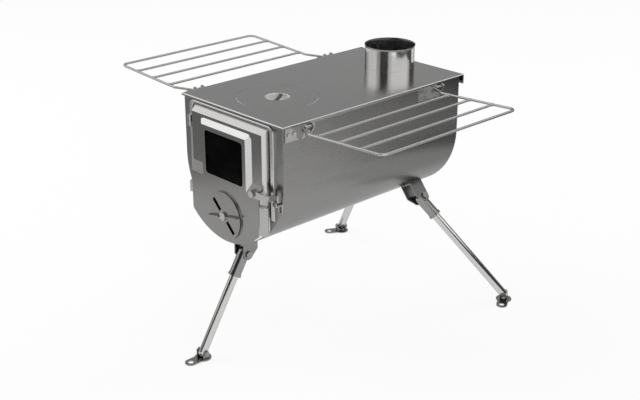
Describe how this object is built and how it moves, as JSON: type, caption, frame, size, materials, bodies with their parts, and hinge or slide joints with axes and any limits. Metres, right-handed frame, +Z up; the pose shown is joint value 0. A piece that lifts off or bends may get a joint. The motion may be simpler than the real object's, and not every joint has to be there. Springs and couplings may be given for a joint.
{
  "type": "wood-burning tent stove",
  "caption": "Portable stainless tent stove: U-shaped firebox on folding legs, windowed door with air dial, lift-off lid, flue collar and fold-out wire side shelves.",
  "frame": {"origin": "on the floor below the middle of the overall box, legs and shelves unfolded", "axes": "+X towards the right-hand shelf as seen from the door, +Y towards the rear, +Z up"},
  "size_m": [0.4548, 0.413, 0.325],
  "materials": {
    "brushed_sheet": "brushed stainless sheet",
    "polished_steel": "polished stainless",
    "window_glass": "dark heat-proof glass",
    "fibre_gasket": "woven ceramic fibre"
  },
  "bodies": {
    "stove": {"firebox_shell": "brushed_sheet", "front_plate": "brushed_sheet", "rear_plate": "brushed_sheet", "top_plate": "brushed_sheet", "fire_grate": "brushed_sheet", "flue_collar": "polished_steel", "frame_hinge_leaves": "polished_steel", "door_hinge_pins": "polished_steel", "latch_keeper": "polished_steel", "right_shelf_brackets": "brushed_sheet", "left_shelf_brackets": "brushed_sheet", "bracket_rivets": "polished_steel", "front_leg_bracket": "brushed_sheet", "front_leg_pin": "polished_steel", "right_leg_bracket": "brushed_sheet", "right_leg_pin": "polished_steel", "left_leg_bracket": "brushed_sheet", "left_leg_pin": "polished_steel"},
    "door": {"door_panel": "brushed_sheet", "door_glass": "window_glass", "glass_gasket": "fibre_gasket", "glass_retainer": "brushed_sheet", "retainer_nuts": "polished_steel", "door_hinge_leaves": "polished_steel", "dial_rivet": "polished_steel", "latch_pivot": "polished_steel"},
    "dial": {"air_dial": "polished_steel"},
    "latch": {"latch_lever": "polished_steel", "latch_grip": "polished_steel"},
    "lid": {"cooktop_lid": "brushed_sheet", "lid_lifting_bar": "polished_steel"},
    "right_side_shelf": {"right_shelf": "polished_steel"},
    "left_side_shelf": {"left_shelf": "polished_steel"},
    "front_leg": {"front_leg_socket": "brushed_sheet", "front_leg_tube": "polished_steel"},
    "right_leg": {"right_leg_socket": "brushed_sheet", "right_leg_tube": "polished_steel"},
    "left_leg": {"left_leg_socket": "brushed_sheet", "left_leg_tube": "polished_steel"},
    "front_ankle": {"front_foot": "brushed_sheet", "front_foot_pin": "polished_steel"},
    "right_ankle": {"right_foot": "brushed_sheet", "right_foot_pin": "polished_steel"},
    "left_ankle": {"left_foot": "brushed_sheet", "left_foot_pin": "polished_steel"}
  },
  "joints": [
    {"name": "door_hinge", "type": "hinge", "parent": "stove", "child": "door", "pos_m": [-0.0685, -0.13402, 0.235], "axis": [0, 0, -1], "range_deg": [0, 115]},
    {"name": "dial_turn", "type": "hinge", "parent": "door", "child": "dial", "pos_m": [0, -0.142, 0.1715], "axis": [0, 1, 0], "range_deg": [0, 45]},
    {"name": "latch_swing", "type": "hinge", "parent": "door", "child": "latch", "pos_m": [0.053, -0.142, 0.215], "axis": [0, -1, 0], "range_deg": [-6, 50]},
    {"name": "lid_lift", "type": "slide", "parent": "stove", "child": "lid", "axis": [0, 0, 1], "range_m": [0, 0.1]},
    {"name": "right_shelf_fold", "type": "hinge", "parent": "stove", "child": "right_side_shelf", "pos_m": [0.0955, 0, 0.2934], "axis": [0, -1, 0], "range_deg": [0, 90]},
    {"name": "left_shelf_fold", "type": "hinge", "parent": "stove", "child": "left_side_shelf", "pos_m": [-0.0955, 0, 0.2934], "axis": [0, 1, 0], "range_deg": [0, 90]},
    {"name": "front_leg_fold", "type": "hinge", "parent": "stove", "child": "front_leg", "pos_m": [0, -0.11472, 0.1165], "axis": [1, 0, 0], "range_deg": [0, 121.5]},
    {"name": "right_leg_fold", "type": "hinge", "parent": "stove", "child": "right_leg", "pos_m": [0.05236, 0.13818, 0.13004], "axis": [-0.7771, 0, -0.6293], "range_deg": [0, 108]},
    {"name": "left_leg_fold", "type": "hinge", "parent": "stove", "child": "left_leg", "pos_m": [-0.05236, 0.13818, 0.13004], "axis": [-0.7771, 0, 0.6293], "range_deg": [0, 108]},
    {"name": "front_foot_tilt", "type": "hinge", "parent": "front_leg", "child": "front_ankle", "pos_m": [0, -0.18151, 0.0075], "axis": [-1, 0, 0], "range_deg": [-20, 45]},
    {"name": "right_foot_tilt", "type": "hinge", "parent": "right_leg", "child": "right_ankle", "pos_m": [0.15159, 0.19651, 0.0075], "axis": [0.5067, -0.8621, 0], "range_deg": [-20, 45]},
    {"name": "left_foot_tilt", "type": "hinge", "parent": "left_leg", "child": "left_ankle", "pos_m": [-0.15159, 0.19651, 0.0075], "axis": [0.5067, 0.8621, 0], "range_deg": [-20, 45]}
  ]
}
